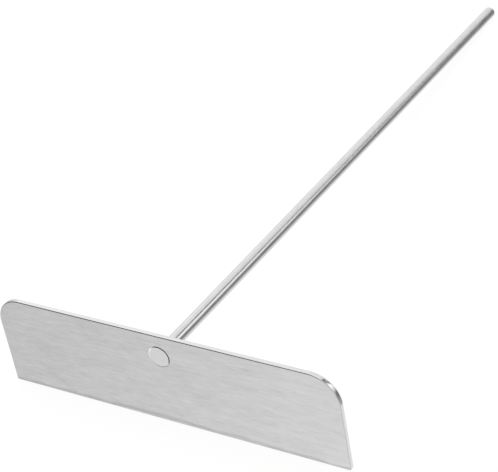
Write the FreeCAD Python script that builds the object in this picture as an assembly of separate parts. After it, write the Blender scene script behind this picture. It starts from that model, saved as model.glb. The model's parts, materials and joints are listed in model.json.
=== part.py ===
import FreeCAD, Part
import math
import os

# Crepe spreader: a flat steel blade with a round rod riveted square through it.
# Millimetres. X runs along the blade, Y along the rod and Z up.
# Both pieces are drawn with the blade upright, its front face at Y = 0 and its working
# edge at Z = 0. They are then leant over together until the working edge and the tip of
# the rod touch the surface, with the middle of their footprint at the origin.

# Blade
blade_length = 178.0
blade_height = 47.0
blade_thickness = 2.3
top_corner_radius = 13.5
bottom_corner_radius = 0.9
blade_rim_radius = 0.4  # rounds the front and the back rim, all the way round

# Rod
rod_diameter = 6.0
rod_axis_height = 36.0  # above the working edge
rod_reach = 335.0  # from the blade's front face to the tip of the rod
tip_rim_radius = 1.0

# Riveted end of the rod: a tenon through the blade, upset into a flat head that sits in a
# shallow counterbore of the front face
shoulder_width = 0.8  # step of the rod that seats on the blade's back face
tenon_clearance = 0.05  # between the tenon and its hole, all round
head_diameter = 10.1
head_clearance = 0.2  # seam between the head and the counterbore, all round
head_height = 0.1  # above the blade's front face
head_rim_radius = 0.1
counterbore_depth = 0.25  # below the blade's front face
counterbore_lip_radius = 0.15  # rounds the mouth of the counterbore
countersink_depth = 1.2  # below the counterbore's floor
countersink_angle = 90.0  # across the whole cone

# Radii that the two pieces share
rod_radius = rod_diameter / 2
tenon_radius = rod_radius - shoulder_width
hole_radius = tenon_radius + tenon_clearance
countersink_slope = math.tan(math.radians(countersink_angle / 2))
countersink_radius = hole_radius + countersink_depth * countersink_slope
countersink_end = counterbore_depth + countersink_depth
head_radius = head_diameter / 2
counterbore_radius = head_radius + head_clearance

along_rod = FreeCAD.Vector(0, 1, 0)
across_lean = FreeCAD.Vector(1, 0, 0)
cut_overrun = 1.0  # how far a cutting shape runs past the blade's faces


# Closed wire through (point, radius) corners, with a tangent arc where the radius isn't zero
def rounded_wire(corners):
    ends = []
    for place, (corner, radius) in enumerate(corners):
        back = (corners[place - 1][0] - corner).normalize()
        ahead = (corners[(place + 1) % len(corners)][0] - corner).normalize()
        half_angle = back.getAngle(ahead) / 2
        setback = radius / math.tan(half_angle)
        middle_distance = radius / math.sin(half_angle) - radius
        arc_middle = corner + (back + ahead).normalize() * middle_distance
        ends.append((corner + back * setback, arc_middle, corner + ahead * setback, radius))
    edges = []
    for place, (arc_start, arc_middle, arc_end, radius) in enumerate(ends):
        if radius > 0:
            edges.append(Part.Arc(arc_start, arc_middle, arc_end).toShape())
        next_start = ends[(place + 1) % len(ends)][0]
        edges.append(Part.LineSegment(arc_end, next_start).toShape())
    return Part.Wire(edges)


# Solid turned about the rod's axis from (distance along the rod, radius, rounding) corners
def turned(profile):
    corners = []
    for distance, radius, rounding in profile:
        corners.append((FreeCAD.Vector(0, distance, rod_axis_height + radius), rounding))
    section = Part.Face(rounded_wire(corners))
    return section.revolve(FreeCAD.Vector(0, 0, rod_axis_height), along_rod, 360)


def make_rivet_hole():
    back_end = blade_thickness + cut_overrun
    return turned([
        (-cut_overrun, 0, 0),
        (-cut_overrun, counterbore_radius, 0),
        (counterbore_depth, counterbore_radius, 0),
        (counterbore_depth, countersink_radius, 0),
        (countersink_end, hole_radius, 0),
        (back_end, hole_radius, 0),
        (back_end, 0, 0),
    ])


# Circle where the counterbore opens in the blade's front face
def is_mouth(edge):
    if not isinstance(edge.Curve, Part.Circle) or edge.CenterOfMass.y > counterbore_depth / 2:
        return False
    return math.isclose(edge.Curve.Radius, counterbore_radius, abs_tol=1e-6)


def make_blade():
    half_length = blade_length / 2
    outline = rounded_wire([
        (FreeCAD.Vector(-half_length, 0, 0), bottom_corner_radius),
        (FreeCAD.Vector(half_length, 0, 0), bottom_corner_radius),
        (FreeCAD.Vector(half_length, 0, blade_height), top_corner_radius),
        (FreeCAD.Vector(-half_length, 0, blade_height), top_corner_radius),
    ])
    plate = Part.Face(outline).extrude(along_rod * blade_thickness)
    rims = [edge for edge in plate.Edges if edge.BoundBox.YLength < blade_thickness / 2]
    holed = plate.makeFillet(blade_rim_radius, rims).cut(make_rivet_hole())
    return holed.makeFillet(counterbore_lip_radius, [edge for edge in holed.Edges if is_mouth(edge)])


def make_handle_rod():
    return turned([
        (-head_height, 0, 0),
        (-head_height, head_radius, head_rim_radius),
        (counterbore_depth, head_radius, 0),
        (counterbore_depth, countersink_radius - tenon_clearance, 0),
        (countersink_end, tenon_radius, 0),
        (blade_thickness, tenon_radius, 0),
        (blade_thickness, rod_radius, 0),
        (rod_reach, rod_radius, tip_rim_radius),
        (rod_reach, 0, 0),
    ])


# The spreader lies on the rounding of the blade's lower back rim and on that of the rod's
# tip, so the surface is the common tangent of those two circles
def resting_placement():
    rim_back = blade_thickness - blade_rim_radius
    tip_back = rod_reach - tip_rim_radius
    tip_low = rod_axis_height - rod_radius + tip_rim_radius
    tip_high = rod_axis_height + rod_radius - tip_rim_radius
    run = tip_back - rim_back
    rise = tip_low - blade_rim_radius
    radius_step = blade_rim_radius - tip_rim_radius
    lean_angle = math.atan2(rise, run) + math.asin(radius_step / math.hypot(run, rise))
    lean = FreeCAD.Rotation(across_lean, -math.degrees(lean_angle))

    # Centres of the roundings at the front, at the surface and at the far end, once leant
    front_centre = lean.multVec(FreeCAD.Vector(0, blade_rim_radius, blade_rim_radius))
    low_centre = lean.multVec(FreeCAD.Vector(0, rim_back, blade_rim_radius))
    far_centre = lean.multVec(FreeCAD.Vector(0, tip_back, tip_high))
    front_end = front_centre.y - blade_rim_radius
    far_end = far_centre.y + tip_rim_radius
    surface_height = low_centre.z - blade_rim_radius
    shift = FreeCAD.Vector(0, -(front_end + far_end) / 2, -surface_height)
    return FreeCAD.Placement(shift, lean)


os.makedirs("parts", exist_ok=True)
pieces = {"blade": make_blade(), "handle_rod": make_handle_rod()}
for name, piece in pieces.items():
    piece.Placement = resting_placement()
    piece.exportStep(os.path.join("parts", name + ".step"))
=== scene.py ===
import json
import math

import bpy
from mathutils import Matrix, Vector


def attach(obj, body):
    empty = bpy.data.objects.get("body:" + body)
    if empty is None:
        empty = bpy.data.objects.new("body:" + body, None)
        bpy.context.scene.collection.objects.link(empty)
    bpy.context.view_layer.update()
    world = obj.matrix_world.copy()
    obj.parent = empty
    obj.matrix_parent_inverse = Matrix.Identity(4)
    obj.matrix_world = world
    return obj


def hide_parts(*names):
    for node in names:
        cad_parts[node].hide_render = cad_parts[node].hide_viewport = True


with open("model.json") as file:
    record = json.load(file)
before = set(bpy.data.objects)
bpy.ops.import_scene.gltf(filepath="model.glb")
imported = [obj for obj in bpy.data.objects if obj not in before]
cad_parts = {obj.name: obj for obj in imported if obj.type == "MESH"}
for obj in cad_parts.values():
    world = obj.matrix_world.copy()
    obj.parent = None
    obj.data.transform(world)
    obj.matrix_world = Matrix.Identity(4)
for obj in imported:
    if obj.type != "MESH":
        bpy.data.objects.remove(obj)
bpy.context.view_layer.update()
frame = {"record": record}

mm = 0.001

# How finely the curved stretches are divided
fineness = {
    "topCorner": 48,
    "bottomCorner": 12,
    "rim": 10,
    "rimSupport": 0.05 * mm,  # flat strip beside a rounding, which keeps the flats' shading flat
    "hole": 96,
    "rodAround": 144,
    "turnedRim": 12,
    "weld": 0.0002 * mm,  # corners nearer than this are one
    "hardAngle": 35.0,  # degrees between two faces, above which their edge is hard
}


# Adds a node, with its settings, its unlinked values and the sockets that feed it
def addNode(tree, kind, settings=None, values=None, feeds=None):
    node = tree.nodes.new(kind)
    for name, value in (settings or {}).items():
        setattr(node, name, value)
    for name, value in (values or {}).items():
        node.inputs[name].default_value = value
    for name, socket in (feeds or {}).items():
        tree.links.new(socket, node.inputs[name])
    return node


# One Math node, fed by numbers or sockets
def calc(tree, operation, a, b=None, c=None):
    node = tree.nodes.new("ShaderNodeMath")
    node.operation = operation
    for socket, term in zip(node.inputs, (a, b, c)):
        if term is None:
            continue
        if isinstance(term, (int, float)):
            socket.default_value = term
        else:
            tree.links.new(term, socket)
    return node.outputs[0]


# Degrees from the second angle to the first, between -180 and 180
def angleBetween(tree, first, second):
    return calc(tree, "WRAP", calc(tree, "SUBTRACT", first, second), 180.0, -180.0)


def sumOfSquares(tree, a, b):
    return calc(tree, "ADD", calc(tree, "POWER", a, 2.0), calc(tree, "POWER", b, 2.0))


# A point or a direction made of three numbers or sockets
def combine(tree, x, y, z):
    node = tree.nodes.new("ShaderNodeCombineXYZ")
    for socket, term in zip(node.inputs, (x, y, z)):
        if isinstance(term, (int, float)):
            socket.default_value = term
        else:
            tree.links.new(term, socket)
    return node.outputs[0]


def newTree(name, kind, inputs, outputs):
    tree = bpy.data.node_groups.new(name, kind)
    for socketName, socketKind in inputs:
        tree.interface.new_socket(socketName, in_out="INPUT", socket_type=socketKind)
    for socketName, socketKind in outputs:
        tree.interface.new_socket(socketName, in_out="OUTPUT", socket_type=socketKind)
    given = tree.nodes.new("NodeGroupInput").outputs
    result = tree.nodes.new("NodeGroupOutput").inputs
    return tree, given, result


# Marks the edges sharper than this as hard, so that the flats meet the roundings cleanly
def shadeByAngle(tree, geometry, degrees):
    smooth = addNode(tree, "GeometryNodeSetShadeSmooth", values={"Shade Smooth": True},
                     feeds={"Geometry": geometry})
    angle = tree.nodes.new("GeometryNodeInputMeshEdgeAngle").outputs["Unsigned Angle"]
    hard = calc(tree, "GREATER_THAN", angle, math.radians(degrees))
    edges = addNode(tree, "GeometryNodeSetShadeSmooth", {"domain": "EDGE"},
                    {"Shade Smooth": False},
                    {"Geometry": smooth.outputs["Geometry"], "Selection": hard})
    return edges.outputs["Geometry"]


# Surface that a half section, drawn as X along and Y out, sweeps round the Y axis
def makeTurnTree():
    tree, given, result = newTree("turnedSection", "GeometryNodeTree", [
        ("Geometry", "NodeSocketGeometry"),
        ("Around", "NodeSocketInt"),
    ], [("Geometry", "NodeSocketGeometry")])
    section = addNode(tree, "GeometryNodeMeshToCurve", feeds={"Mesh": given["Geometry"]})
    rounding = addNode(tree, "GeometryNodeInputNamedAttribute", {"data_type": "FLOAT"},
                       {"Name": "rounding"})
    rounded = addNode(tree, "GeometryNodeFilletCurve", {"mode": "POLY"},
                      {"Count": fineness["turnedRim"]},
                      {"Curve": section.outputs["Curve"], "Radius": rounding.outputs[0]})
    points = addNode(tree, "GeometryNodeCurveToMesh", feeds={"Curve": rounded.outputs["Curve"]})
    size = addNode(tree, "GeometryNodeAttributeDomainSize", {"component": "MESH"},
                   feeds={"Geometry": points.outputs["Mesh"]})
    columns = calc(tree, "ADD", given["Around"], 1.0)
    sheet = addNode(tree, "GeometryNodeMeshGrid",
                    feeds={"Vertices X": size.outputs["Point Count"], "Vertices Y": columns})
    index = tree.nodes.new("GeometryNodeInputIndex").outputs[0]
    midStep = calc(tree, "ADD", index, 0.5)  # keeps the division off whole numbers
    station = calc(tree, "FLOOR", calc(tree, "DIVIDE", midStep, columns))
    step = calc(tree, "SUBTRACT", index, calc(tree, "MULTIPLY", station, columns))
    angle = calc(tree, "DIVIDE", calc(tree, "MULTIPLY", step, math.tau), given["Around"])
    position = tree.nodes.new("GeometryNodeInputPosition").outputs[0]
    sample = addNode(tree, "GeometryNodeSampleIndex", {
        "data_type": "FLOAT_VECTOR",
        "domain": "POINT",
    }, feeds={
        "Geometry": points.outputs["Mesh"],
        "Value": position,
        "Index": station,
    })
    drawn = addNode(tree, "ShaderNodeSeparateXYZ", feeds={"Vector": sample.outputs[0]}).outputs
    across = calc(tree, "MULTIPLY", drawn["Y"], calc(tree, "COSINE", angle))
    upward = calc(tree, "MULTIPLY", drawn["Y"], calc(tree, "SINE", angle))
    turnedPlace = combine(tree, across, drawn["X"], upward)
    turned = addNode(tree, "GeometryNodeSetPosition",
                     feeds={"Geometry": sheet.outputs["Mesh"], "Position": turnedPlace})
    tree.links.new(turned.outputs["Geometry"], result["Geometry"])
    return tree


turnTree = makeTurnTree()


# Plate drawn flat: X along the blade, Y up it, and Z out of its front face, which is at 0.
# The tree's geometry is the half section of its hole, from the front face to the back one.
def makePlateTree():
    tree, given, result = newTree("roundedPlate", "GeometryNodeTree", [
        ("Geometry", "NodeSocketGeometry"),
        ("Length", "NodeSocketFloat"),
        ("Height", "NodeSocketFloat"),
        ("Thickness", "NodeSocketFloat"),
        ("Top Corner Radius", "NodeSocketFloat"),
        ("Bottom Corner Radius", "NodeSocketFloat"),
        ("Rim Radius", "NodeSocketFloat"),
        ("Hole Height", "NodeSocketFloat"),
        ("Hole Mouth", "NodeSocketFloat"),
        ("Hole Back", "NodeSocketFloat"),
        ("Face Material", "NodeSocketMaterial"),
        ("Rim Material", "NodeSocketMaterial"),
        ("Bore Material", "NodeSocketMaterial"),
    ], [("Geometry", "NodeSocketGeometry")])
    thickness, rim = given["Thickness"], given["Rim Radius"]
    nearFront, nearBack = 0.0001, 0.999  # shares of the thickness, just inside each flat
    flatFacing = 0.9999  # least Z of a flat's normal

    # The line that the rim's roundings start from, one rim radius inside the outline
    rectangle = addNode(tree, "GeometryNodeCurvePrimitiveQuadrilateral", {
        "mode": "RECTANGLE",
    }, feeds={
        "Width": calc(tree, "MULTIPLY_ADD", rim, -2.0, given["Length"]),
        "Height": calc(tree, "MULTIPLY_ADD", rim, -2.0, given["Height"]),
    })
    position = tree.nodes.new("GeometryNodeInputPosition").outputs[0]
    cornerSide = addNode(tree, "ShaderNodeSeparateXYZ", feeds={"Vector": position})
    isTop = calc(tree, "GREATER_THAN", cornerSide.outputs["Y"], 0.0)
    topRadius, bottomRadius = given["Top Corner Radius"], given["Bottom Corner Radius"]
    cornerSpread = calc(tree, "SUBTRACT", topRadius, bottomRadius)
    cornerRadius = calc(tree, "MULTIPLY_ADD", isTop, cornerSpread, bottomRadius)
    countSpread = fineness["topCorner"] - fineness["bottomCorner"]
    outline = addNode(tree, "GeometryNodeFilletCurve", {"mode": "POLY"}, feeds={
        "Curve": rectangle.outputs["Curve"],
        "Radius": calc(tree, "SUBTRACT", cornerRadius, rim),
        "Count": calc(tree, "MULTIPLY_ADD", isTop, countSpread, fineness["bottomCorner"]),
    })

    # Section of the rim: a flat support strip, a rounding, the edge, a rounding, a strip
    inside = -fineness["rimSupport"]
    section = addNode(tree, "GeometryNodeCurvePrimitiveQuadrilateral", {"mode": "POINTS"}, feeds={
        "Point 1": combine(tree, inside, 0.0, 0.0),
        "Point 2": combine(tree, rim, 0.0, 0.0),
        "Point 3": combine(tree, rim, thickness, 0.0),
        "Point 4": combine(tree, inside, thickness, 0.0),
    })
    openSection = addNode(tree, "GeometryNodeSetSplineCyclic", values={"Cyclic": False},
                          feeds={"Geometry": section.outputs["Curve"]})
    sectionSide = addNode(tree, "ShaderNodeSeparateXYZ", feeds={"Vector": position})
    isOuter = calc(tree, "GREATER_THAN", sectionSide.outputs["X"], 0.0)
    roundSection = addNode(tree, "GeometryNodeFilletCurve", {"mode": "POLY"},
                           {"Count": fineness["rim"]}, {
        "Curve": openSection.outputs["Geometry"],
        "Radius": calc(tree, "MULTIPLY", isOuter, rim),
    })
    band = addNode(tree, "GeometryNodeCurveToMesh", feeds={
        "Curve": outline.outputs["Curve"],
        "Profile Curve": roundSection.outputs["Curve"],
    })
    lift = combine(tree, 0.0, calc(tree, "MULTIPLY", given["Height"], 0.5), 0.0)
    liftedBand = addNode(tree, "GeometryNodeTransform",
                         feeds={"Geometry": band.outputs["Mesh"], "Translation": lift})

    # Front and back flats, filled between the rim band and the hole
    flats = []
    neighbours = tree.nodes.new("GeometryNodeInputMeshEdgeNeighbors").outputs["Face Count"]
    isBorder = calc(tree, "LESS_THAN", neighbours, 1.5)  # edges of one face only
    heightOf = addNode(tree, "ShaderNodeSeparateXYZ", feeds={"Vector": position}).outputs["Z"]
    back = calc(tree, "MULTIPLY", thickness, -1.0)
    isFront = calc(tree, "GREATER_THAN", heightOf, calc(tree, "MULTIPLY", back, 0.5))
    isBack = calc(tree, "SUBTRACT", 1.0, isFront)
    holePlace = combine(tree, 0.0, given["Hole Height"], 0.0)
    sides = ((isFront, given["Hole Mouth"], 0.0), (isBack, given["Hole Back"], back))
    for side, radius, level in sides:
        border = addNode(tree, "GeometryNodeMeshToCurve", feeds={
            "Mesh": liftedBand.outputs["Geometry"],
            "Selection": calc(tree, "MULTIPLY", isBorder, side),
        })
        ring = addNode(tree, "GeometryNodeCurvePrimitiveCircle", {"mode": "RADIUS"},
                       {"Resolution": fineness["hole"]}, {"Radius": radius})
        liftedRing = addNode(tree, "GeometryNodeTransform",
                             feeds={"Geometry": ring.outputs["Curve"], "Translation": holePlace})
        both = tree.nodes.new("GeometryNodeJoinGeometry")
        tree.links.new(border.outputs["Curve"], both.inputs[0])
        tree.links.new(liftedRing.outputs["Geometry"], both.inputs[0])
        filled = addNode(tree, "GeometryNodeFillCurve", {"mode": "TRIANGLES"},
                         feeds={"Curve": both.outputs[0]})
        flats.append(addNode(tree, "GeometryNodeTransform", feeds={
            "Geometry": filled.outputs["Mesh"],
            "Translation": combine(tree, 0.0, 0.0, level),
        }).outputs["Geometry"])
    backFlat = addNode(tree, "GeometryNodeFlipFaces", feeds={"Mesh": flats[1]}).outputs["Mesh"]

    # Walls of the hole, turned about its axis
    walls = addNode(tree, "GeometryNodeGroup", {"node_tree": turnTree},
                    {"Around": fineness["hole"]}, {"Geometry": given["Geometry"]})
    standingWalls = addNode(tree, "GeometryNodeTransform", values={
        "Rotation": (math.radians(-90), 0.0, 0.0),
    }, feeds={
        "Geometry": walls.outputs["Geometry"],
        "Translation": holePlace,
    })
    innerWalls = addNode(tree, "GeometryNodeFlipFaces",
                         feeds={"Mesh": standingWalls.outputs["Geometry"]}).outputs["Mesh"]

    whole = tree.nodes.new("GeometryNodeJoinGeometry")
    for part in (liftedBand.outputs["Geometry"], flats[0], backFlat, innerWalls):
        tree.links.new(part, whole.inputs[0])
    welded = addNode(tree, "GeometryNodeMergeByDistance", values={"Distance": fineness["weld"]},
                     feeds={"Geometry": whole.outputs[0]})
    shaded = shadeByAngle(tree, welded.outputs["Geometry"], fineness["hardAngle"])
    normal = tree.nodes.new("GeometryNodeInputNormal").outputs[0]
    facing = addNode(tree, "ShaderNodeSeparateXYZ", feeds={"Vector": normal}).outputs["Z"]
    isRim = calc(tree, "LESS_THAN", calc(tree, "ABSOLUTE", facing), flatFacing)
    fromHole = addNode(tree, "ShaderNodeVectorMath", {"operation": "SUBTRACT"})
    tree.links.new(position, fromHole.inputs[0])
    tree.links.new(holePlace, fromHole.inputs[1])
    aside = addNode(tree, "ShaderNodeSeparateXYZ", feeds={"Vector": fromHole.outputs[0]}).outputs
    reachSquared = sumOfSquares(tree, aside["X"], aside["Y"])
    isNear = calc(tree, "LESS_THAN", reachSquared, calc(tree, "POWER", given["Hole Mouth"], 2.0))
    isInside = calc(tree, "LESS_THAN", aside["Z"], calc(tree, "MULTIPLY", back, nearFront))
    isBeforeBack = calc(tree, "GREATER_THAN", aside["Z"], calc(tree, "MULTIPLY", back, nearBack))
    isBore = calc(tree, "MULTIPLY", isNear, calc(tree, "MULTIPLY", isInside, isBeforeBack))
    real = addNode(tree, "GeometryNodeRealizeInstances", feeds={"Geometry": shaded})
    faced = addNode(tree, "GeometryNodeSetMaterial", feeds={
        "Geometry": real.outputs["Geometry"],
        "Material": given["Face Material"],
    })
    rimmed = addNode(tree, "GeometryNodeSetMaterial", feeds={
        "Geometry": faced.outputs["Geometry"],
        "Selection": isRim,
        "Material": given["Rim Material"],
    })
    bored = addNode(tree, "GeometryNodeSetMaterial", feeds={
        "Geometry": rimmed.outputs["Geometry"],
        "Selection": isBore,
        "Material": given["Bore Material"],
    })
    tree.links.new(bored.outputs["Geometry"], result["Geometry"])
    return tree


# Turned bar: its half section, from the head to the tip, swept round its axis
def makeBarTree():
    tree, given, result = newTree("turnedBar", "GeometryNodeTree", [
        ("Geometry", "NodeSocketGeometry"),
        ("Around", "NodeSocketInt"),
        ("Head Back", "NodeSocketFloat"),
        ("Shaft Material", "NodeSocketMaterial"),
        ("Head Material", "NodeSocketMaterial"),
    ], [("Geometry", "NodeSocketGeometry")])
    turned = addNode(tree, "GeometryNodeGroup", {"node_tree": turnTree},
                     feeds={"Geometry": given["Geometry"], "Around": given["Around"]})
    welded = addNode(tree, "GeometryNodeMergeByDistance", values={"Distance": fineness["weld"]},
                     feeds={"Geometry": turned.outputs["Geometry"]})
    shaded = shadeByAngle(tree, welded.outputs["Geometry"], fineness["hardAngle"])
    real = addNode(tree, "GeometryNodeRealizeInstances", feeds={"Geometry": shaded})
    shaft = addNode(tree, "GeometryNodeSetMaterial", feeds={
        "Geometry": real.outputs["Geometry"],
        "Material": given["Shaft Material"],
    })
    position = tree.nodes.new("GeometryNodeInputPosition").outputs[0]
    along = addNode(tree, "ShaderNodeSeparateXYZ", feeds={"Vector": position}).outputs["Y"]
    headed = addNode(tree, "GeometryNodeSetMaterial", feeds={
        "Geometry": shaft.outputs["Geometry"],
        "Selection": calc(tree, "LESS_THAN", along, given["Head Back"]),
        "Material": given["Head Material"],
    })
    tree.links.new(headed.outputs["Geometry"], result["Geometry"])
    return tree


# Runs a tree on a mesh with its inputs set by name, and returns the plain mesh that it makes
def buildMesh(name, start, tree, values):
    carrier = bpy.data.objects.new(name + "Start", start)
    bpy.context.scene.collection.objects.link(carrier)
    modifier = carrier.modifiers.new("build", "NODES")
    modifier.node_group = tree
    for item in tree.interface.items_tree:
        if item.in_out == "INPUT" and item.name in values:
            modifier[item.identifier] = values[item.name]
    view = bpy.context.evaluated_depsgraph_get()
    mesh = bpy.data.meshes.new_from_object(carrier.evaluated_get(view))
    mesh.name = name
    while mesh.materials[0] is None:  # the slot that was there before Set Material
        mesh.materials.pop(index=0)
    carrier.modifiers.clear()
    bpy.data.objects.remove(carrier)
    return mesh


# Puts a finished mesh into the scene in the place of its solid
def standIn(name, mesh, stand, node):
    mesh.transform(stand)
    mesh.validate()
    piece = bpy.data.objects.new(name, mesh)
    bpy.context.scene.collection.objects.link(piece)
    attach(piece, "root")
    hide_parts(node)
    print(name, "has", len(mesh.polygons), "faces")


# How the noise of every steel finish is mixed
noise = {
    "detail": 2.0,
    "roughness": 0.5,
    "broadScale": 0.27,  # of the broad streaks, against the fine ones
    "fineShare": 0.55,  # of the fine streaks in the grain, the rest being broad
    "grainShare": 0.75,  # of the grain in the pattern, the rest being blotches
    "low": 0.3,  # the noise mostly keeps between these two
    "high": 0.7,
}


# A noise texture of that detail, stretched by the vector that feeds it
def addNoise(tree, scale, vector):
    return addNode(tree, "ShaderNodeTexNoise", values={
        "Scale": scale,
        "Detail": noise["detail"],
        "Roughness": noise["roughness"],
    }, feeds={"Vector": vector}).outputs["Fac"]


# Mix of two sockets by the share of the first
def mixed(tree, first, second, share):
    return calc(tree, "ADD", calc(tree, "MULTIPLY", first, share),
                calc(tree, "MULTIPLY", second, 1 - share))


# Streaks of brushing or drawing: long along one axis, hair-thin across it
def makeGrainGroup():
    tree, given, result = newTree("steelGrain", "ShaderNodeTree", [
        ("Vector", "NodeSocketVector"),
        ("Streak Size", "NodeSocketVector"),
        ("Blotch Size", "NodeSocketFloat"),
    ], [
        ("Grain", "NodeSocketFloat"),
        ("Blotches", "NodeSocketFloat"),
    ])
    stretched = addNode(tree, "ShaderNodeVectorMath", {"operation": "DIVIDE"})
    tree.links.new(given["Vector"], stretched.inputs[0])
    tree.links.new(given["Streak Size"], stretched.inputs[1])
    fine = addNoise(tree, 1.0, stretched.outputs[0])
    broad = addNoise(tree, noise["broadScale"], stretched.outputs[0])
    stretch = addNode(tree, "ShaderNodeMapRange",
                      values={"From Min": noise["low"], "From Max": noise["high"]},
                      feeds={"Value": mixed(tree, fine, broad, noise["fineShare"])})
    tree.links.new(stretch.outputs["Result"], result["Grain"])
    blotchPlace = addNode(tree, "ShaderNodeVectorMath", {"operation": "DIVIDE"})
    tree.links.new(given["Vector"], blotchPlace.inputs[0])
    blotch = given["Blotch Size"]
    tree.links.new(combine(tree, blotch, blotch, blotch), blotchPlace.inputs[1])
    tree.links.new(addNoise(tree, 1.0, blotchPlace.outputs[0]), result["Blotches"])
    return tree


grainGroup = makeGrainGroup()


# Lightens or darkens a stretch of a coordinate: painted shade or a painted highlight along an
# edge, a rounding or the seam
def makeBandGroup():
    tree, given, result = newTree("toneBand", "ShaderNodeTree", [
        ("Tone", "NodeSocketFloat"),
        ("Coordinate", "NodeSocketFloat"),
        ("From", "NodeSocketFloat"),
        ("To", "NodeSocketFloat"),
        ("Soft Edge", "NodeSocketFloat"),
        ("Band Tone", "NodeSocketFloat"),
    ], [("Tone", "NodeSocketFloat")])
    middle = calc(tree, "MULTIPLY", calc(tree, "ADD", given["From"], given["To"]), 0.5)
    half = calc(tree, "SUBTRACT", given["To"], middle)
    cover = addNode(tree, "ShaderNodeMapRange", {"interpolation_type": "SMOOTHSTEP"}, {
        "To Min": 1.0,
        "To Max": 0.0,
    }, {
        "Value": calc(tree, "ABSOLUTE", calc(tree, "SUBTRACT", given["Coordinate"], middle)),
        "From Min": calc(tree, "SUBTRACT", half, given["Soft Edge"]),
        "From Max": calc(tree, "ADD", half, given["Soft Edge"]),
    })
    change = calc(tree, "SUBTRACT", given["Band Tone"], 1.0)
    factor = calc(tree, "MULTIPLY_ADD", cover.outputs["Result"], change, 1.0)
    tree.links.new(calc(tree, "MULTIPLY", given["Tone"], factor), result["Tone"])
    return tree


bandGroup = makeBandGroup()


# Lightens or darkens part of a ring round the rivet's axis
def makeSectorGroup():
    tree, given, result = newTree("toneSector", "ShaderNodeTree", [
        ("Tone", "NodeSocketFloat"),
        ("Radius", "NodeSocketFloat"),
        ("Angle", "NodeSocketFloat"),
        ("From", "NodeSocketFloat"),
        ("To", "NodeSocketFloat"),
        ("Soft Edge", "NodeSocketFloat"),
        ("Direction", "NodeSocketFloat"),
        ("Half Width", "NodeSocketFloat"),
        ("Soft Angle", "NodeSocketFloat"),
        ("Sector Tone", "NodeSocketFloat"),
    ], [("Tone", "NodeSocketFloat")])
    # The band group lifts a tone of 1 to 2 on the ring, so its tone less 1 is the ring's cover
    ring = addNode(tree, "ShaderNodeGroup", {"node_tree": bandGroup}, {
        "Tone": 1.0,
        "Band Tone": 2.0,
    }, {
        "Coordinate": given["Radius"],
        "From": given["From"],
        "To": given["To"],
        "Soft Edge": given["Soft Edge"],
    })
    turn = angleBetween(tree, given["Angle"], given["Direction"])
    side = addNode(tree, "ShaderNodeMapRange", {"interpolation_type": "SMOOTHSTEP"}, {
        "To Min": 1.0,
        "To Max": 0.0,
    }, {
        "Value": calc(tree, "ABSOLUTE", turn),
        "From Min": calc(tree, "SUBTRACT", given["Half Width"], given["Soft Angle"]),
        "From Max": calc(tree, "ADD", given["Half Width"], given["Soft Angle"]),
    })
    ringCover = calc(tree, "SUBTRACT", ring.outputs["Tone"], 1.0)
    cover = calc(tree, "MULTIPLY", ringCover, side.outputs["Result"])
    change = calc(tree, "SUBTRACT", given["Sector Tone"], 1.0)
    factor = calc(tree, "MULTIPLY_ADD", cover, change, 1.0)
    tree.links.new(calc(tree, "MULTIPLY", given["Tone"], factor), result["Tone"])
    return tree


sectorGroup = makeSectorGroup()
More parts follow.
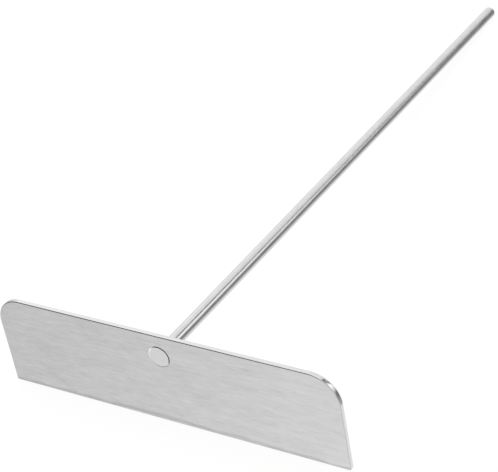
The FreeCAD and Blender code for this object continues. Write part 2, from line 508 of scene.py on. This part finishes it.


# A bare steel finish: its colour, roughness and height follow the streaks and the blotches,
# and its colour also the bands and the sectors of painted shade and painted highlights
def makeSteel(name, finish):
    material = bpy.data.materials.new(name)
    material.use_nodes = True
    tree = material.node_tree
    shader = tree.nodes["Principled BSDF"]
    shader.inputs["Metallic"].default_value = 1.0
    where = tree.nodes.new("ShaderNodeTexCoord").outputs["Object"]
    drawn = addNode(tree, "ShaderNodeMapping", {"vector_type": "TEXTURE"}, {
        "Location": place.to_translation(),
        "Rotation": place.to_euler(),
    }, {"Vector": where})
    grain = addNode(tree, "ShaderNodeGroup", {"node_tree": grainGroup},
                    {"Streak Size": finish["streak"], "Blotch Size": finish["blotch"]},
                    {"Vector": drawn.outputs["Vector"]})
    pattern = mixed(tree, grain.outputs["Grain"], grain.outputs["Blotches"], noise["grainShare"])
    spread = finish["shadeSpread"]
    tone = calc(tree, "MULTIPLY_ADD", pattern, 2 * spread, 1 - spread)
    coordinates = addNode(tree, "ShaderNodeSeparateXYZ",
                          feeds={"Vector": drawn.outputs["Vector"]})
    offMiddle = calc(tree, "SUBTRACT", grain.outputs["Blotches"], 0.5)
    drift = calc(tree, "MULTIPLY", offMiddle, finish["wander"])
    if "bow" in finish:
        outward = calc(tree, "DIVIDE", coordinates.outputs["X"], blade["length"] / 2)
        outwardSquared = calc(tree, "POWER", outward, 2.0)
        drop = calc(tree, "MULTIPLY_ADD", outwardSquared, finish["bow"], -finish["bow"])
        drift = calc(tree, "ADD", drift, drop)
    sockets = ("From", "To", "Soft Edge", "Band Tone")
    for axis, *values in finish["bands"]:
        along = calc(tree, "ADD", coordinates.outputs[axis], drift)
        band = addNode(tree, "ShaderNodeGroup", {"node_tree": bandGroup},
                       dict(zip(sockets, values)), {"Tone": tone, "Coordinate": along})
        tone = band.outputs["Tone"]

    # The sectors go by the distance and the angle from the rivet's axis
    aside = coordinates.outputs["X"]
    above = calc(tree, "SUBTRACT", coordinates.outputs["Z"], rod["axisHeight"])
    radius = calc(tree, "SQRT", sumOfSquares(tree, aside, above))
    angle = calc(tree, "DEGREES", calc(tree, "ARCTAN2", above, aside))
    sockets = ("From", "To", "Soft Edge",
               "Direction", "Half Width", "Soft Angle", "Sector Tone")
    for values in finish.get("sectors", []):
        sector = addNode(tree, "ShaderNodeGroup", {"node_tree": sectorGroup},
                         dict(zip(sockets, values)),
                         {"Tone": tone, "Radius": radius, "Angle": angle})
        tone = sector.outputs["Tone"]

    shade = addNode(tree, "ShaderNodeVectorMath", {"operation": "SCALE"},
                    {"Vector": finish["colour"]}, {"Scale": tone})
    tree.links.new(shade.outputs[0], shader.inputs["Base Color"])
    rough = addNode(tree, "ShaderNodeMapRange", values={
        "From Min": noise["low"],
        "From Max": noise["high"],
        "To Min": finish["roughness"] - finish["roughSpread"],
        "To Max": finish["roughness"] + finish["roughSpread"],
    }, feeds={"Value": pattern})
    tree.links.new(rough.outputs["Result"], shader.inputs["Roughness"])
    bump = addNode(tree, "ShaderNodeBump", values={"Strength": 1.0, "Distance": finish["bump"]},
                   feeds={"Height": grain.outputs["Grain"]})
    tree.links.new(bump.outputs["Normal"], shader.inputs["Normal"])
    return material


# Ring round the rivet head: painted shade on its top right, where the seam lies in shadow, and a
# painted highlight on its left.
# Each sector: radii from and to, soft edge, direction, half width and soft angle, tone
rivetRingShadeAndHighlight = [
    (4.90 * mm, 5.50 * mm, 0.05 * mm, 42.0, 68.0, 14.0, 0.06),
    (4.80 * mm, 5.60 * mm, 0.05 * mm, 165.0, 38.0, 14.0, 1.50),
]

# What a user would change on the blade
blade = {
    "length": 178.0 * mm,
    "height": 47.0 * mm,
    "thickness": 2.3 * mm,
    "topCornerRadius": 13.5 * mm,
    "bottomCornerRadius": 0.9 * mm,
    "rimRadius": 0.4 * mm,
    "holeRadius": 2.25 * mm,
    "counterboreRadius": 5.25 * mm,
    "counterboreDepth": 0.25 * mm,
    "counterboreLipRadius": 0.15 * mm,
    "countersinkDepth": 1.2 * mm,  # below the counterbore's floor
    "face": {
        "colour": (0.585, 0.585, 0.585),
        "roughness": 0.30,
        "streak": (7.0 * mm, 1.15 * mm, 1.15 * mm),  # of one brushed streak: along, through, up
        "blotch": 14.0 * mm,
        "shadeSpread": 0.175,
        "roughSpread": 0.04,
        "bump": 0.0008 * mm,
        # Tone bands: axis of the drawing, from, to, soft edge, tone. This one is painted shade
        # along the working edge, where the face would mirror the table's shadow
        "bands": [("Z", -0.5 * mm, 1.2 * mm, 0.5 * mm, 0.82)],
        "bow": 1.4 * mm,  # rise of the bands from the blade's ends to its middle
        "wander": 3.0 * mm,  # of the bands
    },
    "rim": {
        "colour": (0.62, 0.62, 0.62),
        "roughness": 0.16,
        "streak": (4.0 * mm, 0.5 * mm, 4.0 * mm),
        "blotch": 9.0 * mm,
        "shadeSpread": 0.06,
        "roughSpread": 0.03,
        "bump": 0.0006 * mm,
        # Tone bands as on the face: painted shade on the front and back roundings, on the left
        # end and along the working edge, and a painted highlight on the right end
        "bands": [
            ("Y", -1.0 * mm, 0.36 * mm, 0.06 * mm, 0.75),
            ("Y", 1.94 * mm, 4.0 * mm, 0.06 * mm, 0.85),
            ("X", -88.4 * mm, -76.5 * mm, 1.2 * mm, 0.76),
            ("X", 88.4 * mm, 92.0 * mm, 0.3 * mm, 1.04),
            ("Z", -1.0 * mm, 0.35 * mm, 0.15 * mm, 0.88),
        ],
        "wander": 0.0,
    },
    # Lip and walls of the rivet hole
    "bore": {
        "colour": (0.60, 0.60, 0.60),
        "roughness": 0.30,
        "streak": (0.5 * mm, 0.5 * mm, 0.5 * mm),
        "blotch": 2.0 * mm,
        "shadeSpread": 0.20,
        "roughSpread": 0.08,
        "bump": 0.0010 * mm,
        "bands": [],
        "wander": 0.0,
        # The ring's painted shade and painted highlight, on the hole's lip and walls
        "sectors": rivetRingShadeAndHighlight,
    },
}

# What a user would change on the rod and on its riveted end
rod = {
    "radius": 3.0 * mm,
    "axisHeight": 36.0 * mm,  # above the working edge
    "reach": 335.0 * mm,  # from the blade's front face to the tip
    "tipRimRadius": 1.0 * mm,
    "tenonRadius": 2.2 * mm,
    "headRadius": 5.05 * mm,
    "headHeight": 0.1 * mm,  # above the blade's face
    "headRimRadius": 0.1 * mm,
    "shaft": {
        "colour": (0.60, 0.60, 0.60),
        "roughness": 0.20,
        "streak": (0.8 * mm, 2.5 * mm, 0.8 * mm),
        "blotch": 7.0 * mm,
        "shadeSpread": 0.10,
        "roughSpread": 0.04,
        "bump": 0.0008 * mm,
        "bands": [],
        "wander": 0.0,
    },
    "head": {
        "colour": (0.68, 0.68, 0.68),
        "roughness": 0.34,
        "streak": (0.7 * mm, 0.7 * mm, 0.7 * mm),
        "blotch": 3.0 * mm,
        "shadeSpread": 0.14,
        "roughSpread": 0.05,
        "bump": 0.0010 * mm,
        # Painted shade on the head's side, down in the seam round it
        "bands": [("Y", 0.02 * mm, 1.0 * mm, 0.01 * mm, 0.40)],
        "wander": 0.0,
        # The ring's painted shade and painted highlight, on the head's rim
        "sectors": rivetRingShadeAndHighlight,
    },
}


# Where the drawing stands: its X along the blade, Y along the rod, Z up from the working edge
def drawingPlace():
    grip = next(m for m in frame["record"]["mounts"] if m["name"] == "grip_rod")
    along = Vector(grip["axis"]).normalized()
    across = Vector((1.0, 0.0, 0.0))
    turn = Matrix((across, along, across.cross(along))).transposed()
    shaftMiddle = (blade["thickness"] + rod["reach"] - rod["tipRimRadius"]) / 2
    corner = Vector(grip["pos_m"]) - turn @ Vector((0.0, shaftMiddle, rod["axisHeight"]))
    return Matrix.Translation(corner) @ turn.to_4x4()


place = drawingPlace()

faceSteel = makeSteel("brushedFace", blade["face"])
rimSteel = makeSteel("polishedRim", blade["rim"])
boreSteel = makeSteel("rivetHole", blade["bore"])
shaftSteel = makeSteel("satinShaft", rod["shaft"])
headSteel = makeSteel("facedRivetHead", rod["head"])
print("finishes made")


# Half section as a mesh, from corners given as along, out and rounding
def sectionMesh(name, corners):
    mesh = bpy.data.meshes.new(name)
    mesh.from_pydata([(along, out, 0.0) for along, out, _ in corners],
                     [(i, i + 1) for i in range(len(corners) - 1)], [])
    roundings = mesh.attributes.new("rounding", "FLOAT", "POINT")
    roundings.data.foreach_set("value", [rounding for _, _, rounding in corners])
    return mesh


# Hole of the rivet, from the blade's front face to its back one; the cone slopes at 45 degrees
def holeSection(mouth):
    bore, floor = blade["counterboreRadius"], blade["counterboreDepth"]
    sink, hole = blade["countersinkDepth"], blade["holeRadius"]
    return [
        (0.0, mouth, 0.0),
        (0.0, bore, blade["counterboreLipRadius"]),
        (floor, bore, 0.0),
        (floor, hole + sink, 0.0),
        (floor + sink, hole, 0.0),
        (blade["thickness"], hole, 0.0),
    ]


# Rod from the rivet head to the tip, with the same cone
def rodSection():
    step = fineness["rimSupport"]
    head, tenon, radius = rod["headRadius"], rod["tenonRadius"], rod["radius"]
    floor, sink, back = blade["counterboreDepth"], blade["countersinkDepth"], blade["thickness"]
    front, tip = -rod["headHeight"], rod["reach"]
    return [
        (front, 0.0, 0.0),
        (front, head - rod["headRimRadius"] - step, 0.0),
        (front, head, rod["headRimRadius"]),
        (floor, head, 0.0),
        (floor, tenon + sink, 0.0),
        (floor + sink, tenon, 0.0),
        (back, tenon, 0.0),
        (back, radius, 0.0),
        (tip - rod["tipRimRadius"] - step, radius, 0.0),
        (tip, radius, rod["tipRimRadius"]),
        (tip, radius - rod["tipRimRadius"] - step, 0.0),
        (tip, 0.0, 0.0),
    ]


# The blade, drawn flat and then stood up on its working edge
holeMouth = blade["counterboreRadius"] + blade["counterboreLipRadius"] + fineness["rimSupport"]
holeMesh = sectionMesh("holeSection", holeSection(holeMouth))
plateMesh = buildMesh("bladePlate", holeMesh, makePlateTree(), {
    "Length": blade["length"],
    "Height": blade["height"],
    "Thickness": blade["thickness"],
    "Top Corner Radius": blade["topCornerRadius"],
    "Bottom Corner Radius": blade["bottomCornerRadius"],
    "Rim Radius": blade["rimRadius"],
    "Hole Height": rod["axisHeight"],
    "Hole Mouth": holeMouth,
    "Hole Back": blade["holeRadius"],
    "Face Material": faceSteel,
    "Rim Material": rimSteel,
    "Bore Material": boreSteel,
})
plateMesh.transform(Matrix.Rotation(math.radians(90), 4, "X"))
standIn("bladePlate", plateMesh, place, "blade")

# The rod with its rivet head, turned about its axis
barMesh = sectionMesh("rodSection", rodSection())
rodMesh = buildMesh("handleRod", barMesh, makeBarTree(), {
    "Around": fineness["rodAround"],
    "Head Back": blade["counterboreDepth"],
    "Shaft Material": shaftSteel,
    "Head Material": headSteel,
})
rodMesh.transform(Matrix.Translation((0.0, 0.0, rod["axisHeight"])))
standIn("handleRod", rodMesh, place, "handle_rod")


# Camera as the photograph has it: aim in metres, angles in degrees
camera = {
    "aim": (-0.035095, -0.044194, 0.0),
    "azimuth": 39.8600,
    "elevation": 36.6480,
    "roll": 15.0555,
    "distance": 0.836766,
    "lens": 122.307,
    "sensor": 36.0,
}


def makeCamera():
    azimuth, elevation = math.radians(camera["azimuth"]), math.radians(camera["elevation"])
    level = math.cos(elevation)
    back = Vector((math.sin(azimuth) * level, -math.cos(azimuth) * level, math.sin(elevation)))
    right = Vector((math.cos(azimuth), math.sin(azimuth), 0.0))
    turn = Matrix((right, back.cross(right), back)).transposed()
    turn = turn @ Matrix.Rotation(-math.radians(camera["roll"]), 3, "Z")
    data = bpy.data.cameras.new("productCamera")
    data.lens, data.sensor_width = camera["lens"], camera["sensor"]
    holder = bpy.data.objects.new("productCamera", data)
    stand = Vector(camera["aim"]) + back * camera["distance"]
    holder.matrix_world = Matrix.Translation(stand) @ turn.to_4x4()
    bpy.context.scene.collection.objects.link(holder)
    bpy.context.scene.camera = holder


makeCamera()
print("camera stands")

white = (1.0, 1.0, 1.0, 1.0)

# Studio light around the object, painted by direction: azimuth 0 is along +Y and 90 along +X.
# Each card covers what is under it: centre and half size in degrees, soft edge, brightness.
studio = {
    "table": 0.85,  # below the horizon
    "room": 1.15,  # above it
    "horizon": 4.0,  # degrees over which one becomes the other, each way
    "cards": [
        ("ceiling", 0, 90, 200, 26, 8, 2.20),
        ("fadeAboveGap", 4.5, 59.5, 16.5, 9, 4.5, 1.36),
        ("leftPanel", -72, 30, 36, 24, 14, 1.35),
        ("darkFrontLeft", -132, 27, 50, 30, 7, 0.08),
        ("tableInFront", -171.5, -52, 25, 25, 21, 1.66),
        ("tableAtRight", 105, -42, 35, 22, 12, 1.15),
        ("tableBehindRight", 42, -47, 40, 13, 8, 1.12),
        ("farTable", 36, -25.5, 31.5, 12, 5, 0.48),
        ("darkHorizon", 47, -5.5, 40, 11.5, 7.5, 0.27),
        ("rightPanel", 51, 25, 20, 8.5, 4.5, 1.68),
        ("gapBetweenPanels", 29, 42.5, 8, 25.5, 2.5, 0.03),
        ("panelFoot", 31, 12, 4.5, 15, 2.5, 0.03),
        ("paleBelowGap", 18.5, 28, 13, 8.5, 2, 0.93),
    ],
}


def makeCardGroup():
    tree, given, result = newTree("studioCard", "ShaderNodeTree", [
        ("Light", "NodeSocketFloat"),
        ("Azimuth", "NodeSocketFloat"),
        ("Elevation", "NodeSocketFloat"),
        ("Card Azimuth", "NodeSocketFloat"),
        ("Card Elevation", "NodeSocketFloat"),
        ("Half Width", "NodeSocketFloat"),
        ("Half Height", "NodeSocketFloat"),
        ("Soft Edge", "NodeSocketFloat"),
        ("Brightness", "NodeSocketFloat"),
    ], [("Light", "NodeSocketFloat")])
    sideways = angleBetween(tree, given["Azimuth"], given["Card Azimuth"])
    upwards = calc(tree, "SUBTRACT", given["Elevation"], given["Card Elevation"])
    cover = 1.0
    for offset, half in ((sideways, given["Half Width"]), (upwards, given["Half Height"])):
        edge = addNode(tree, "ShaderNodeMapRange", {"interpolation_type": "SMOOTHSTEP"}, {
            "To Min": 1.0,
            "To Max": 0.0,
        }, {
            "Value": calc(tree, "ABSOLUTE", offset),
            "From Min": calc(tree, "SUBTRACT", half, given["Soft Edge"]),
            "From Max": calc(tree, "ADD", half, given["Soft Edge"]),
        })
        cover = calc(tree, "MULTIPLY", edge.outputs["Result"], cover)
    change = calc(tree, "SUBTRACT", given["Brightness"], given["Light"])
    tree.links.new(calc(tree, "MULTIPLY_ADD", cover, change, given["Light"]), result["Light"])
    return tree


def makeWorld():
    world = bpy.data.worlds.new("studio")
    bpy.context.scene.world = world
    world.use_nodes = True
    tree = world.node_tree
    tree.nodes.clear()
    direction = tree.nodes.new("ShaderNodeTexCoord").outputs["Generated"]
    parts = addNode(tree, "ShaderNodeSeparateXYZ", feeds={"Vector": direction})
    azimuth = calc(tree, "DEGREES", calc(tree, "ARCTAN2", parts.outputs["X"], parts.outputs["Y"]))
    elevation = calc(tree, "DEGREES", calc(tree, "ARCSINE", parts.outputs["Z"]))
    horizon = addNode(tree, "ShaderNodeMapRange", {"interpolation_type": "SMOOTHSTEP"}, {
        "From Min": -studio["horizon"],
        "From Max": studio["horizon"],
        "To Min": studio["table"],
        "To Max": studio["room"],
    }, {"Value": elevation})
    light = horizon.outputs["Result"]
    cardGroup = makeCardGroup()
    sockets = ("Card Azimuth", "Card Elevation",
               "Half Width", "Half Height", "Soft Edge", "Brightness")
    for name, *values in studio["cards"]:
        card = addNode(tree, "ShaderNodeGroup", {"node_tree": cardGroup, "label": name},
                       dict(zip(sockets, values)),
                       {"Light": light, "Azimuth": azimuth, "Elevation": elevation})
        light = card.outputs["Light"]
    around = addNode(tree, "ShaderNodeBackground", values={"Color": white},
                     feeds={"Strength": light})
    behind = addNode(tree, "ShaderNodeBackground", values={"Color": white, "Strength": 1.0})
    cameraRay = tree.nodes.new("ShaderNodeLightPath").outputs["Is Camera Ray"]
    shown = addNode(tree, "ShaderNodeMixShader", feeds={"Fac": cameraRay})
    tree.links.new(around.outputs[0], shown.inputs[1])
    tree.links.new(behind.outputs[0], shown.inputs[2])
    output = tree.nodes.new("ShaderNodeOutputWorld")
    tree.links.new(shown.outputs[0], output.inputs["Surface"])


makeWorld()
print("studio painted with", len(studio["cards"]), "cards")


# White table: it glows by itself, and the rest of its white is lit, so it keeps a soft shadow
tableTop = {"size": 16.0, "glow": 0.893, "litColour": 0.115}


def makeTable():
    mesh = bpy.data.meshes.new("tableTop")
    reach = tableTop["size"] / 2
    corners = [(-reach, -reach, 0), (reach, -reach, 0), (reach, reach, 0), (-reach, reach, 0)]
    mesh.from_pydata(corners, [], [(0, 1, 2, 3)])
    table = bpy.data.objects.new("tableTop", mesh)
    table.visible_glossy = False  # the steel shows the table that the studio's paint holds
    bpy.context.scene.collection.objects.link(table)
    material = bpy.data.materials.new("whitePaper")
    material.use_nodes = True
    shader = material.node_tree.nodes["Principled BSDF"]
    lit = tableTop["litColour"]
    shader.inputs["Base Color"].default_value = (lit, lit, lit, 1.0)
    shader.inputs["Roughness"].default_value = 1.0
    shader.inputs["Specular IOR Level"].default_value = 0.0
    shader.inputs["Emission Color"].default_value = white
    tree = material.node_tree
    cameraRay = tree.nodes.new("ShaderNodeLightPath").outputs["Is Camera Ray"]
    glow = calc(tree, "MULTIPLY", cameraRay, tableTop["glow"])
    tree.links.new(glow, shader.inputs["Emission Strength"])
    mesh.materials.append(material)


makeTable()
print("table laid")
bpy.context.scene.view_settings.view_transform = "Standard"
